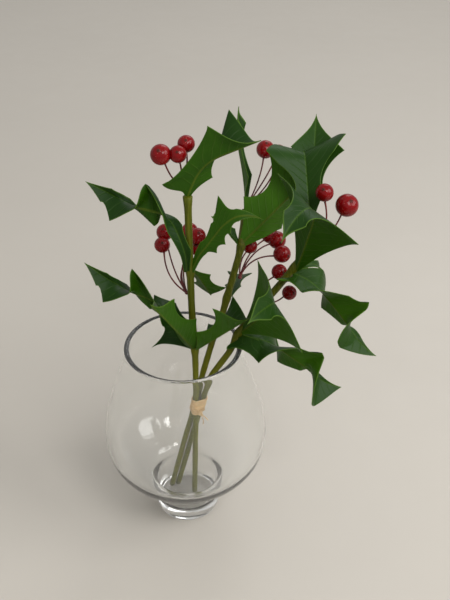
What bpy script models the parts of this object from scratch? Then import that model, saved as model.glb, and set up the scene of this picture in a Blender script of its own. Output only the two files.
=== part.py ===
"""Three stems of holly, tied with raffia and standing in a clear footed glass vase.

Metres, +Z up.  The origin is the centre of the flat underside of the vase's foot,
and the open side of the sprig faces -Y.
"""
import bmesh
import bpy
import numpy as np
from mathutils import Matrix, Vector

MM = 0.001

# Vase, all in millimetres: half width against height, outside from the lip down.
VASE_OUTSIDE = [(37.9, 148.6), (39.2, 148.1), (39.8, 146.8), (41.3, 139), (44.3, 128), (48, 116),
                (52, 104), (55.3, 92), (57.1, 80), (57.4, 69), (55.3, 58), (50, 48.5), (42.5, 40.6),
                (34.5, 35), (28.6, 31.2), (26.4, 27.5), (26.1, 22), (25.2, 14), (23.8, 6),
                (22.8, 1.1), (21.9, 0)]
# The inside, from the middle of the well's floor up to the lip.
VASE_INSIDE = [(14, 8.2), (18.6, 9.6), (20.6, 12.5), (21.8, 18), (22.8, 25), (24.8, 31), (28.5, 34.8),
               (34.3, 38), (42, 43.2), (49, 50.6), (54, 59.6), (55.8, 69.2), (55.5, 80),
               (53.6, 91.6), (50.1, 103.4), (45.9, 115.3), (41.7, 127.2), (38.3, 138.2),
               (36.4, 146.8), (36.8, 148.1)]
VASE_STEPS = 28

STEM_SIDES_RESOLUTION = 2      # eight sides
CLEARANCE = 0.3                # air between pieces that touch
LEAF_THICKNESS = 0.8
LEAF_STEP = 1 / 12             # longest station along a leaf, as a share of its length
COLLAR_RADIUS = 3.3            # the thickened joint that a whorl of leaves grows from
COLLAR_HEIGHT = 4.4
STALK_RADIUS = 0.6
BERRY_SEGMENTS = 10
BERRY_RINGS = 6

# Stem routes from the cut end up, millimetres.
STEM_ROUTES = {
    "left": [(5.2, -2, 9.2), (7, -2.1, 80), (7.5, -2.1, 98), (8, -2.1, 118), (8, -2, 145),
             (6.8, -2, 175), (6.3, -2, 208), (6, -2, 261)],
    "middle": [(-12.6, 4, 9.6), (3.2, 2.9, 80), (7.3, 2.3, 98), (12.2, 3.8, 118), (20, 6, 148),
               (25, 10, 161), (30, 16, 178), (38, 22, 209), (40, 33, 218), (42, 46, 225)],
    "right": [(-8, 6, 9.4), (7.6, 2.6, 80), (11.4, 0.4, 98), (17, 0, 118), (31.5, 1.6, 142),
              (37, 3, 156), (53, 5, 178), (65, 6, 195), (75, 8, 209), (81, 9, 222), (82, 10, 234)],
}
STEM_RADII = {"left": (2.0, 2.3), "middle": (2.0, 2.3), "right": (2.0, 2.3)}

GREEN = (0.035, 0.115, 0.022)
OLIVE = (0.19, 0.205, 0.045)
RED = (0.36, 0.012, 0.02)
STRAW = (0.58, 0.40, 0.21)


# ---------------------------------------------------------------- scene and materials

def clearScene():
    for thing in list(bpy.data.objects):
        bpy.data.objects.remove(thing, do_unlink=True)


def newCollection(name):
    made = bpy.data.collections.new(name)
    bpy.context.scene.collection.children.link(made)
    return made


def newMaterial(name, colour, roughness, transmission=0.0):
    made = bpy.data.materials.new(name)
    made.use_nodes = True
    shader = made.node_tree.nodes["Principled BSDF"]
    shader.inputs["Base Color"].default_value = (*colour, 1)
    shader.inputs["Roughness"].default_value = roughness
    shader.inputs["Metallic"].default_value = 0.0
    shader.inputs["Transmission Weight"].default_value = transmission
    made.diffuse_color = (*colour, 1)
    return made


def objectFromBmesh(name, cage, collection):
    mesh = bpy.data.meshes.new(name)
    cage.to_mesh(mesh)
    cage.free()
    made = bpy.data.objects.new(name, mesh)
    collection.objects.link(made)
    return made


# ---------------------------------------------------------------- curves and tubes

def throughPoints(points, pieces):
    """A smooth Catmull-Rom curve through the points, with so many pieces per span."""
    p = np.array(points, float)
    p = np.vstack([2 * p[0] - p[1], p, 2 * p[-1] - p[-2]])
    out = []
    for i in range(1, len(p) - 2):
        t = np.linspace(0, 1, pieces, endpoint=False)[:, None]
        a, b, c, d = p[i - 1:i + 3]
        out.append(0.5 * (2 * b + (c - a) * t + (2 * a - 5 * b + 4 * c - d) * t ** 2
                          + (3 * b - a - 3 * c + d) * t ** 3))
    out.append(p[-2:-1])
    return np.vstack(out)


def tube(name, path, radii, collection, resolution=STEM_SIDES_RESOLUTION):
    """A round rod along a path in millimetres: a bevelled curve with filled caps, as a mesh."""
    curve = bpy.data.curves.new(name, "CURVE")
    curve.dimensions = "3D"
    curve.bevel_depth = MM
    curve.bevel_resolution = resolution
    curve.use_fill_caps = True
    spline = curve.splines.new("POLY")
    spline.points.add(len(path) - 1)
    radii = np.broadcast_to(radii, len(path))
    for point, place, radius in zip(spline.points, path, radii):
        point.co = (*(np.array(place) * MM), 1)
        point.radius = radius
    rod = bpy.data.objects.new(name + "_curve", curve)
    collection.objects.link(rod)
    graph = bpy.context.evaluated_depsgraph_get()
    mesh = bpy.data.meshes.new_from_object(rod.evaluated_get(graph))
    cage = bmesh.new()
    cage.from_mesh(mesh)
    bmesh.ops.remove_doubles(cage, verts=cage.verts, dist=0.00001)
    bmesh.ops.recalc_face_normals(cage, faces=cage.faces)
    cage.to_mesh(mesh)
    cage.free()
    mesh.name = name
    solid = bpy.data.objects.new(name, mesh)
    solid.matrix_world = rod.matrix_world
    collection.objects.link(solid)
    bpy.data.objects.remove(rod, do_unlink=True)
    return solid


def stemPath(side):
    return throughPoints(STEM_ROUTES[side], 3)


def stemRadii(side):
    path = stemPath(side)
    low, high = STEM_RADII[side]
    t = np.clip((path[:, 2] - 110) / 60, 0, 1)
    return low + (high - low) * t


def stemPoint(side, height):
    """Centre, direction and radius of a stem at a height."""
    path = throughPoints(STEM_ROUTES[side], 3)
    k = int(np.clip(np.searchsorted(path[:, 2], height), 1, len(path) - 1))
    a, b = path[k - 1], path[k]
    t = (height - a[2]) / (b[2] - a[2])
    return a + (b - a) * t, (b - a) / np.linalg.norm(b - a), float(stemRadii(side)[k])


# ---------------------------------------------------------------- fusing and cutting

def applyModifiers(thing):
    graph = bpy.context.evaluated_depsgraph_get()
    mesh = bpy.data.meshes.new_from_object(thing.evaluated_get(graph))
    thing.modifiers.clear()
    thing.data = mesh


def keepLargestBody(thing):
    """Merge what lies together and drop loose scraps."""
    cage = bmesh.new()
    cage.from_mesh(thing.data)
    bmesh.ops.remove_doubles(cage, verts=cage.verts, dist=0.000004)
    bmesh.ops.dissolve_degenerate(cage, edges=cage.edges, dist=0.000002)
    left = set(cage.verts)
    bodies = []
    while left:
        group = [left.pop()]
        for vert in group:
            for edge in vert.link_edges:
                other = edge.other_vert(vert)
                if other in left:
                    left.remove(other)
                    group.append(other)
        bodies.append(group)
    bodies.sort(key=len, reverse=True)
    for group in bodies[1:]:
        bmesh.ops.delete(cage, geom=group, context="VERTS")
    bmesh.ops.triangulate(cage, faces=cage.faces)
    cage.to_mesh(thing.data)
    cage.free()
    thing.data.name = thing.name


def fuse(base, repeats, cutter=None):
    """One union of the base with a collection of repeats, then a cut for what passes through."""
    join = base.modifiers.new("Join", "BOOLEAN")
    join.operand_type = "COLLECTION"
    join.collection = repeats
    join.operation = "UNION"
    join.solver = "EXACT"
    if cutter is not None:
        cut = base.modifiers.new("Clear", "BOOLEAN")
        cut.object = cutter
        cut.operation = "DIFFERENCE"
        cut.solver = "EXACT"
    applyModifiers(base)
    for thing in list(repeats.objects):
        bpy.data.objects.remove(thing, do_unlink=True)
    bpy.data.collections.remove(repeats)
    keepLargestBody(base)
    return base


# ---------------------------------------------------------------- leaves

LEFT_SPINES = [(0.22, 15), (0.62, 25)]
RIGHT_SPINES = [(0.26, 15), (0.70, 25)]


def eased(keys, values, s):
    """Values at keys, with a smooth step from each to the next."""
    keys = np.array(keys, float)
    values = np.array(values, float)
    k = np.clip(np.searchsorted(keys, s, side="right") - 1, 0, len(keys) - 2)
    t = np.clip((s - keys[k]) / (keys[k + 1] - keys[k]), 0, 1)
    t = t * t * (3 - 2 * t)
    return values[k] * (1 - t) + values[k + 1] * t


def margin(s, spines, foot, hollow):
    """Half width along a leaf: straight from spine to spine, hollowed by a parabola between."""
    keys = np.array([0] + [share for share, _ in spines] + [1.0])
    widths = np.array([foot] + [width for _, width in spines] + [0.0])
    k = np.clip(np.searchsorted(keys, s, side="right") - 1, 0, len(keys) - 2)
    t = (s - keys[k]) / (keys[k + 1] - keys[k])
    depth = hollow * (widths[k] + widths[k + 1]) / 2
    depth = depth * np.where(k == 0, 0.45, np.where(k == len(keys) - 2, 0.75, 1.0))
    return widths[k] * (1 - t) + widths[k + 1] * t - depth * 4 * t * (1 - t)


def turned(axis, degrees):
    return np.array(Matrix.Rotation(np.radians(degrees), 3, Vector(axis)))


def zoneTurn(values, x, n):
    """Degrees turned in one of n steps, from values that each cover an equal zone."""
    k = min(len(values) - 1, int(x * len(values)))
    return values[k] * len(values) / n


def leafSurface(base, az, el, roll=0, length=84, bend=(10, 10), twist=(0, 0), sway=(0, 0),
                liftLeft=(20, 20), liftRight=(20, 20), left=None, right=None, foot=2.0,
                hollow=0.42, sweepLeft=(2, 6), sweepRight=(2, 6), tipLift=10, sides=2,
                step=LEAF_STEP):
    """Points of a holly blade, rows along the midrib and columns from margin to margin.

    The midrib starts at base towards azimuth az and elevation el.  On its way it bends
    towards its underside, sways to its left and twists its left side up, in equal zones.
    Each half blade lifts off the midrib by its own angle, eased from spine to spine, and
    its outer part sweeps forward.
    """
    left = left or LEFT_SPINES
    right = right or RIGHT_SPINES
    marks = sorted({0.0, 1.0} | {share for share, _ in left} | {share for share, _ in right})
    s = []
    for a, b in zip(marks[:-1], marks[1:]):
        s.extend(np.linspace(a, b, max(1, round((b - a) / step)) + 1)[:-1])
    s = np.array(s + [1.0])
    a, e, r = np.radians([az, el, roll])
    along = np.array([np.cos(e) * np.cos(a), np.cos(e) * np.sin(a), np.sin(e)])
    level = np.array([-np.sin(a), np.cos(a), 0])
    upper = np.cross(along, level)
    across, up = np.cos(r) * level + np.sin(r) * upper, np.cos(r) * upper - np.sin(r) * level
    place = np.array(base, float)
    n = 60
    frames = [(place, along, across, up)]
    for i in range(n):
        x = (i + 0.5) / n
        turn = (turned(across, zoneTurn(bend, x, n)) @ turned(up, zoneTurn(sway, x, n))
                @ turned(along, zoneTurn(twist, x, n)))
        place = place + along * length / n
        along, across, up = turn @ along, turn @ across, turn @ up
        frames.append((place, along, across, up))
    frames = np.array(frames)
    x = np.linspace(0, 1, n + 1)
    place, along, across, up = [np.stack([np.interp(s, x, frames[:, j, i]) for i in range(3)], -1)
                                for j in range(4)]
    columns = []
    for hand, spines, lift, sweep in ((1, left, liftLeft, sweepLeft),
                                      (-1, right, liftRight, sweepRight)):
        keys = [0] + [share for share, _ in spines] + [1]
        lifts = (list(lift) + [lift[-1]] * len(spines))[:len(spines)]
        sweeps = (list(sweep) + [sweep[-1]] * len(spines))[:len(spines)]
        angle = np.radians(eased(keys, [12, *lifts, tipLift], s))
        forward = eased(keys, [0, *sweeps, 0], s)
        width = margin(s, spines, foot, hollow)
        half = []
        for share in np.linspace(0, 1, sides + 1):
            out = (width * share * np.cos(angle))[:, None] * hand * across
            lifted = (width * share * np.sin(angle))[:, None] * up
            half.append(place + out + lifted + (forward * share ** 2)[:, None] * along)
        columns.append(half)
    return np.stack(columns[0][::-1] + columns[1][1:], 1)


def alongRows(values, s):
    """Values given at equal steps, joined by a Catmull-Rom curve."""
    p = np.array(values, float)
    p = np.vstack([2 * p[0] - p[1], p, 2 * p[-1] - p[-2]])
    k = np.minimum((s * (len(values) - 1)).astype(int), len(values) - 2) + 1
    t = (s * (len(values) - 1) - k + 1)[:, None]
    a, b, c, d = p[k - 1], p[k], p[k + 1], p[k + 2]
    return 0.5 * (2 * b + (c - a) * t + (2 * a - 5 * b + 4 * c - d) * t ** 2
                  + (3 * b - a - 3 * c + d) * t ** 3)


def rolledSurface(rows, left, right, leftBow=None, rightBow=None, foot=2.0, hollow=0.3,
                  sides=2, step=1 / 24):
    """Points of a holly blade that rolls over on its way, laid out as leafSurface's are.

    Each row holds a point of the midrib and the ways to the left and to the right margin, at
    equal steps.  A half blade is straight, or bows out by a vector that is given for a row.
    """
    marks = sorted({0.0, 1.0} | {share for share, _ in left} | {share for share, _ in right})
    s = []
    for a, b in zip(marks[:-1], marks[1:]):
        s.extend(np.linspace(a, b, max(1, round((b - a) / step)) + 1)[:-1])
    s = np.array(s + [1.0])
    place, leftWay, rightWay = [alongRows([row[i] for row in rows], s) for i in range(3)]
    columns = []
    for way, spines, bows in ((leftWay, left, leftBow), (rightWay, right, rightBow)):
        way = way / np.linalg.norm(way, axis=1)[:, None]
        bulge = alongRows([(bows or {}).get(i, (0, 0, 0)) for i in range(len(rows))], s)
        width = margin(s, spines, foot, hollow)[:, None]
        columns.append([place + way * width * share + bulge * 4 * share * (1 - share)
                        for share in np.linspace(0, 1, sides + 1)])
    return np.stack(columns[0][::-1] + columns[1][1:], 1)


def leafSolid(name, collection, **shape):
    """A blade of even thickness: a triangulated surface with Solidify."""
    grid = (rolledSurface if "rows" in shape else leafSurface)(**shape) * MM
    rows, cols = grid.shape[:2]
    cage = bmesh.new()
    verts = [[cage.verts.new(grid[i, j]) for j in range(cols)] for i in range(rows - 1)]
    tip = cage.verts.new(grid[-1, cols // 2])
    for i in range(rows - 2):
        for j in range(cols - 1):
            a, b, c, d = verts[i][j], verts[i][j + 1], verts[i + 1][j + 1], verts[i + 1][j]
            if j < cols // 2:
                cage.faces.new((a, b, c))
                cage.faces.new((a, c, d))
            else:
                cage.faces.new((a, b, d))
                cage.faces.new((b, c, d))
    for j in range(cols - 1):
        cage.faces.new((verts[-1][j], verts[-1][j + 1], tip))
    leaf = objectFromBmesh(name, cage, collection)
    plate = leaf.modifiers.new("Thickness", "SOLIDIFY")
    plate.thickness = LEAF_THICKNESS * MM
    plate.offset = 0
    plate.use_rim = True
    applyModifiers(leaf)
    cage = bmesh.new()
    cage.from_mesh(leaf.data)
    bmesh.ops.triangulate(cage, faces=cage.faces)
    bmesh.ops.recalc_face_normals(cage, faces=cage.faces)
    cage.to_mesh(leaf.data)
    cage.free()
    return leaf


def whorl(name, side, height, leaves, parts, capped=False, collar=COLLAR_HEIGHT):
    """A ring threaded on a stem, with the leaves that grow from it."""
    centre, along, radius = stemPoint(side, height)
    rise = 1.5 if capped else 0
    turn = Vector((0, 0, 1)).rotation_difference(Vector(along)).to_matrix().to_4x4()
    cage = bmesh.new()
    bmesh.ops.create_cone(cage, cap_ends=True, segments=14, radius1=COLLAR_RADIUS * MM,
                          radius2=(COLLAR_RADIUS - 0.4) * MM, depth=(collar + rise) * MM,
                          matrix=Matrix.Translation(Vector((centre + along * rise / 2) * MM)) @ turn)
    ring = objectFromBmesh(name, cage, parts)
    repeats = newCollection(name + "_repeats")
    for i, shape in enumerate(leaves):
        leafSolid(f"{name}_leaf{i}", repeats, **shape)
    path = stemPath(side)
    if capped:
        path = np.vstack([path, path[-1] + along * CLEARANCE])
        radii = np.append(stemRadii(side), stemRadii(side)[-1])
    else:
        radii = stemRadii(side)
    path[0] = path[0] - (path[1] - path[0]) * 0.05
    drill = tube(name + "_drill", path, radii + CLEARANCE, cutters)
    fuse(ring, repeats, drill)
    bpy.data.objects.remove(drill, do_unlink=True)
    ring.data.materials.clear()
    ring.data.materials.append(leafMaterial)
    ring.data.set_sharp_from_angle(angle=np.radians(40))
    return ring


# ---------------------------------------------------------------- berries

def bowed(start, end, bow, pieces=5):
    """A stalk's route: straight from start to end, bowed sideways by a vector at its middle."""
    t = np.linspace(0, 1, pieces + 1)[:, None]
    start, end, bow = np.array(start, float), np.array(end, float), np.array(bow, float)
    return start + (end - start) * t + bow * 4 * t * (1 - t)


def berryBunch(name, root, berries, parts):
    """Berries on thin stalks that meet in one bead beside the stem."""
    cage = bmesh.new()
    bmesh.ops.create_uvsphere(cage, u_segments=8, v_segments=5, radius=1.4 * MM,
                              matrix=Matrix.Translation(Vector(root) * MM))
    bead = objectFromBmesh(name, cage, parts)
    repeats = newCollection(name + "_repeats")
    for i, (centre, diameter, bow) in enumerate(berries):
        path = bowed(root, centre, bow)
        heading = Vector(path[-1] - path[-2]).normalized()
        path[-1] = np.array(centre) - np.array(heading) * diameter * 0.3
        turn = Vector((0, 0, 1)).rotation_difference(heading).to_matrix().to_4x4()
        place = Matrix.Translation(Vector(centre) * MM) @ turn
        cage = bmesh.new()
        bmesh.ops.create_uvsphere(cage, u_segments=BERRY_SEGMENTS, v_segments=BERRY_RINGS,
                                  radius=diameter / 2 * MM, matrix=place)
        objectFromBmesh(f"{name}_berry{i}", cage, repeats)
        cage = bmesh.new()
        crown = place @ Matrix.Translation((0, 0, (diameter / 2 - 0.1) * MM))
        bmesh.ops.create_cone(cage, cap_ends=True, segments=6, radius1=0.9 * MM, radius2=1.5 * MM,
                              depth=1.4 * MM, matrix=crown)
        objectFromBmesh(f"{name}_crown{i}", cage, repeats)
        tube(f"{name}_stalk{i}", path, STALK_RADIUS, repeats, 1)
    fuse(bead, repeats)
    bead.data.materials.clear()
    bead.data.materials.append(berryMaterial)
    bead.data.shade_smooth()
    bead.data.set_sharp_from_angle(angle=np.radians(50))
    return bead


# ---------------------------------------------------------------- the raffia tie

TIE_BOTTOM = 91.6
TIE_TURNS = 7
TIE_TURN = 1.85
TIE_WALL = 0.75


def tieRing(height, offset, count):
    """A loop round the three stems at a height: their taut outline, offset outwards."""
    stems = [stemPoint(side, height) for side in STEM_ROUTES]
    loop = []
    for k in range(count):
        angle = 2 * np.pi * k / count
        out = np.array([np.cos(angle), np.sin(angle), 0])
        centre, _, radius = max(stems, key=lambda stem: float(stem[0] @ out) + stem[2])
        loop.append(centre + out * (radius + offset))
    return loop


def tie(parts):
    """Seven turns of raffia round the stems, with a knot and two short ends."""
    count = 20
    rings = []
    for turn in range(TIE_TURNS):
        z = TIE_BOTTOM + turn * TIE_TURN
        rings.append(tieRing(z, CLEARANCE + TIE_WALL - 0.15, count))
        rings.append(tieRing(z + TIE_TURN / 2, CLEARANCE + TIE_WALL + 0.15, count))
    top = TIE_BOTTOM + TIE_TURNS * TIE_TURN
    rings.append(tieRing(top, CLEARANCE + TIE_WALL - 0.15, count))
    for k in range(4, -1, -1):
        rings.append(tieRing(TIE_BOTTOM + (top - TIE_BOTTOM) * k / 4, CLEARANCE + 0.05, count))
    cage = bmesh.new()
    verts = [[cage.verts.new(Vector(p) * MM) for p in ring] for ring in rings]
    for i in range(len(verts)):
        here, above = verts[i], verts[(i + 1) % len(verts)]
        for j in range(count):
            k = (j + 1) % count
            cage.faces.new((here[j], here[k], above[k], above[j]))
    bmesh.ops.triangulate(cage, faces=cage.faces)
    bmesh.ops.recalc_face_normals(cage, faces=cage.faces)
    wrap = objectFromBmesh("raffia_tie", cage, parts)
    repeats = newCollection("raffia_tie_repeats")
    cage = bmesh.new()
    knot = Vector((10.6, -4.65, 92.6))
    bmesh.ops.create_uvsphere(cage, u_segments=10, v_segments=7, radius=1.7 * MM,
                              matrix=Matrix.Translation(knot * MM))
    objectFromBmesh("raffia_knot", cage, repeats)
    for end, bow in (((16, -7, 88.4), (0, -0.6, 1)), ((12.4, -7.6, 85.2), (1, -0.8, 0))):
        tube("raffia_end", bowed(knot, end, bow), 0.7, repeats)
    fuse(wrap, repeats)
    wrap.data.materials.clear()
    wrap.data.materials.append(raffiaMaterial)
    wrap.data.set_sharp_from_angle(angle=np.radians(50))


# ---------------------------------------------------------------- the vase

def vase(parts):
    """A turned wall of even glass over a short hollow foot with a solid floor."""
    outline = VASE_OUTSIDE + [(0, 0)]
    inner = [(0, 8)] + VASE_INSIDE
    cage = bmesh.new()
    points = [cage.verts.new((x * MM, 0, z * MM)) for x, z in outline]
    for a, b in zip(points[:-1], points[1:]):
        cage.edges.new((a, b))
    inside = [cage.verts.new((x * MM, 0, z * MM)) for x, z in inner]
    for a, b in zip(inside[:-1], inside[1:]):
        cage.edges.new((a, b))
    cage.edges.new((inside[-1], points[0]))
    body = objectFromBmesh("vase", cage, parts)
    screw = body.modifiers.new("Turn", "SCREW")
    screw.steps = VASE_STEPS
    screw.render_steps = VASE_STEPS
    screw.use_merge_vertices = True
    screw.merge_threshold = 0.00001
    screw.use_normal_calculate = True
    applyModifiers(body)
    cage = bmesh.new()
    cage.from_mesh(body.data)
    bmesh.ops.remove_doubles(cage, verts=cage.verts, dist=0.000001)
    bmesh.ops.recalc_face_normals(cage, faces=cage.faces)
    cage.to_mesh(body.data)
    cage.free()
    body.data.materials.append(glassMaterial)
    body.data.shade_smooth()
    body.data.set_sharp_from_angle(angle=np.radians(50))


# ---------------------------------------------------------------- the whole thing

clearScene()
parts = newCollection("holly_sprig")
cutters = newCollection("cutters")
leafMaterial = newMaterial("holly_leaf", GREEN, 0.34)
stemMaterial = newMaterial("holly_stem", OLIVE, 0.5)
berryMaterial = newMaterial("holly_berry", RED, 0.22)
raffiaMaterial = newMaterial("raffia", STRAW, 0.75)
glassMaterial = newMaterial("clear_glass", (0.93, 0.95, 0.95), 0.02, 1.0)

vase(parts)
for side in STEM_ROUTES:
    stem = tube("stem_" + side, stemPath(side), stemRadii(side), parts)
    stem.data.materials.append(stemMaterial)
    stem.data.shade_smooth()
    stem.data.set_sharp_from_angle(angle=np.radians(50))
tie(parts)

# Left stem: whorls of three at three heights, the last on the stem's cut tip.
whorl("leaves_left_low", "left", 146, [
    dict(rows=[((6.5, 0, 146), (-0.8, -0.6, -0.1), (0.6, 0.2, 0.7)),
               ((1.5, 5, 155), (-0.9, -0.4, -0.3), (0.4, 0.4, 0.8)),
               ((-6.5, 8, 166.5), (-0.6, -0.6, -0.5), (0.2, 0.5, 0.8)),
               ((-16.5, 10, 174.5), (0, -0.8, 0.5), (-0.1, 0.8, 0.6)),
               ((-23.5, 12, 178.5), (-0.45, 0.3, 0.9), (0.2, -0.3, -0.9)),
               ((-36, 13, 183.5), (0.1, -0.9, 0.4), (-0.2, 0.9, 0.1)),
               ((-49.5, 14, 193), (-0.1, -0.8, -0.6), (0.2, -0.1, 0.9)),
               ((-63, 15, 204), (-0.2, -0.7, -0.7), (0.2, 0.4, 0.9))],
         left=[(0.2, 24), (0.3, 10), (0.571, 22), (0.857, 17), (0.91, 9)],
         right=[(0.143, 9), (0.286, 9), (0.571, 8), (0.714, 7), (0.857, 4)]),
    dict(base=(7.4, -3, 147), az=-118, el=54, roll=20, length=82, bend=(0, 0),
         liftLeft=(50, 55), liftRight=(50, 55), left=[(0.3, 15), (0.7, 13)],
         right=[(0.25, 17), (0.62, 15)]),
    dict(base=(9, -3.5, 147), az=-14, el=42, roll=-20, length=48, bend=(0, 0),
         liftLeft=(45, 45), liftRight=(45, 45)),
], parts)
whorl("leaves_left_mid", "left", 208, [
    dict(rows=[((4.4, -3.8, 209), (-1, -0.2, 0.1), (1, -0.3, 0.2)),
               ((3.5, -6.5, 225), (-1, -0.3, 0), (0.8, -0.2, 0.5)),
               ((-2.5, -2, 240), (-0.7, -0.8, -0.3), (0.9, 0.1, 0.3)),
               ((-10, 4, 245.5), (0, -0.8, 0.6), (0.1, 0.9, -0.3)),
               ((-18.5, 8, 246), (-0.1, 0.2, 1), (0.3, -0.3, -0.9)),
               ((-29, 10, 249), (0.15, -0.9, 0.25), (-0.2, 0.9, 0.1)),
               ((-42, 14, 254.5), (0, -0.8, -0.6), (0.2, -0.1, 0.9)),
               ((-57, 16, 262), (-0.2, -0.7, -0.7), (0.2, 0.4, 0.9))],
         leftBow={3: (1.5, 0.5, 0.7), 4: (3, 2, 2)}, rightBow={5: (-0.8, -0.8, -2)},
         left=[(0.286, 6), (0.571, 17), (0.857, 18), (0.91, 8)],
         right=[(0.143, 5), (0.286, 5), (0.571, 10), (0.714, 7), (0.857, 4)]),
    dict(rows=[((7.2, -3.4, 209.5), (0.7, -0.6, -0.3), (-0.4, 0.2, 0.7)),
               ((12, -4.5, 221), (0.7, -0.6, -0.3), (-0.6, 0.3, 0.7)),
               ((17, -6, 229), (0.7, -0.6, -0.3), (-0.5, 0.3, 0.8)),
               ((22, -7, 237), (0.7, -0.6, -0.3), (-0.3, 0.4, 0.9)),
               ((27, -8, 244.5), (0.6, -0.6, -0.3), (0, 0.4, 1)),
               ((34.5, -9, 251), (0.4, -0.6, -0.6), (0, 0.4, 1)),
               ((43, -9, 252), (0.1, -0.6, -0.8), (0, 0.4, 1)),
               ((51, -8, 249), (0.1, -0.6, -0.8), (0, 0.4, 1))],
         left=[(0.22, 3), (0.3, 8), (0.43, 9), (0.57, 7), (0.72, 3)],
         right=[(0.25, 5), (0.43, 8), (0.53, 20), (0.72, 5)]),
    dict(base=(8, -1, 208), az=62, el=-48, roll=-10, length=38, bend=(10, 0),
         left=[(0.22, 8), (0.62, 12)], right=[(0.26, 8), (0.70, 12)]),
], parts)
whorl("leaves_left_top", "left", 259.5, [
    dict(base=(6, -2, 261.5), az=-18, el=70, roll=-60, length=62, twist=(5, 20, 15, 0, 0),
         bend=(3, 14, 13, 0, 0), left=[(0.22, 11), (0.64, 28)],
         right=[(0.22, 17), (0.62, 20)], liftLeft=(5, 60), liftRight=(5, 60),
         sweepLeft=(2, 6), sweepRight=(-10, 0), sway=(3, 15, 15, 0, 0), hollow=0.5),
], parts, capped=True)

# Middle stem.
whorl("leaves_middle_low", "middle", 176, [
    dict(base=(31, 17, 176), az=75, el=5, length=34, left=[(0.22, 6), (0.62, 9)],
         right=[(0.26, 6), (0.70, 9)]),
], parts, collar=4)
whorl("leaves_middle_mid", "middle", 212, [
    dict(base=(38, 22, 213), az=30, el=35, roll=-132, length=66, left=[(0.4, 18), (0.78, 13)],
         right=[(0.36, 21), (0.745, 29)], liftLeft=(50, 55), liftRight=(5, 10),
         sweepLeft=(0, 3), sweepRight=(0, 5), hollow=0.42),
    dict(base=(37, 23, 213), az=165, el=55, length=26, left=[(0.22, 6), (0.62, 9)],
         right=[(0.26, 6), (0.70, 9)]),
], parts)
whorl("leaves_middle_top", "middle", 224.2, [
    dict(base=(42, 47, 226), az=93, el=72, roll=60, length=67, left=[(0.3, 10), (0.7, 10)],
         right=[(0.3, 6), (0.75, 6)], liftLeft=(45, 45), liftRight=(45, 45),
         bend=(12, -22)),
], parts, capped=True)

# Right stem.
whorl("leaves_right_low", "right", 156, [
    dict(base=(39, 1.5, 158), az=-44, el=50, roll=-101, length=92, bend=(5, 0, 22, 60, 5),
         sway=(0, 0, 0, 15, 15), left=[(0.58, 34), (0.78, 8)],
         right=[(0.56, 30), (0.78, 8)], liftLeft=(5, 20), liftRight=(5, 20)),
    dict(base=(37, 2, 155), az=-3, el=-4, roll=32, length=80, twist=(0, -90, -20, 110, 15),
         step=1 / 24, bend=(10, 10, 10, 0, 0), sway=(-10, -20, -10, 40, 20),
         left=[(0.40, 20), (0.78, 3)],
         right=[(0.10, 13), (0.22, 20), (0.52, 19), (0.77, 24)], liftLeft=(0, 20),
         liftRight=(10, 10, 10, 10), sweepLeft=(0, 0), sweepRight=(-14, 0, 15, 2),
         hollow=0.3),
    dict(base=(38.5, 3, 156), az=10, el=-24, length=36, left=[(0.22, 6), (0.62, 10)],
         right=[(0.26, 6), (0.70, 10)]),
], parts)
whorl("leaves_right_mid", "right", 205, [
    dict(base=(73.8, 4.9, 205.2), az=-48, el=71, roll=-88, length=98.5, bend=(5, 0, 35, 65, 10),
         sway=(0, 0, 0, 15, 15), left=[(0.56, 34), (0.78, 8)],
         right=[(0.56, 34), (0.78, 8)], liftLeft=(5, 10), liftRight=(5, 10)),
    dict(base=(72, 5.5, 202), az=-18, el=-10, roll=31, length=76,
         twist=(-20, -80, -10, 100, 15), step=1 / 24, bend=(10, 10, 10, 0, 0),
         sway=(-20, -10, -10, 30, 20), left=[(0.28, 21), (0.78, 3)],
         right=[(0.10, 13), (0.22, 17), (0.52, 25), (0.77, 18)], liftLeft=(0, 20),
         liftRight=(10, 10, 10, 10), sweepLeft=(-4, 0), sweepRight=(-14, -2, 12, -4),
         hollow=0.25),
    dict(base=(76, 9, 204), az=14, el=20, roll=30, length=46, left=[(0.35, 4), (0.7, 8)],
         right=[(0.35, 4), (0.7, 6)], bend=(55, 40, 10, 0)),
], parts)
whorl("leaves_right_top", "right", 232.5, [
    dict(base=(81.5, 10.5, 235.5), az=97, el=52, roll=-6, length=76,
         bend=(0, 0, 0, 0, 60, 60, 30, 0), left=[(0.2, 10), (0.56, 26)],
         right=[(0.2, 10), (0.58, 28)], sweepLeft=(2, 0)),
    dict(base=(81.5, 13, 234.5), az=84, el=42, roll=0, length=76, bend=(0, 0, 5, 5),
         left=[(0.25, 8), (0.56, 16)], right=[(0.25, 8), (0.54, 20)], liftLeft=(15, 20),
         liftRight=(15, 20)),
], parts, capped=True)

# Berries: centre, diameter and the sideways bow of each stalk.
berryBunch("berries_left_top", (2, 2.6, 266), [
    ((-9, 0, 287.3), 12.4, (-1, 0, -2)), ((1, 0, 287.5), 10.4, (1, 1, 0)),
    ((5.5, 8, 290.4), 10.4, (2, 1, 0)),
], parts)
berryBunch("berries_left_mid", (3.6, 1.2, 190), [
    ((-12.5, 21, 213.9), 10.4, (-4, 1, -4)), ((-11, 28, 219.3), 11.1, (-2, 2, -4)),
    ((5.4, 24, 222.6), 10.8, (-3, 0, -3)), ((10.7, 16, 223.4), 10.8, (-6, -1, 0)),
    ((9, 17, 214.6), 10.2, (-6, -1, 0)),
], parts)
berryBunch("berries_middle_top", (43, 51, 227), [
    ((55.2, 72, 257.5), 12.3, (2, 0, 0)), ((64.6, 79, 252.4), 10.1, (2, 2, 0)),
    ((65.6, 69, 256), 8.6, (3, 0, -2)),
], parts)
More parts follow.
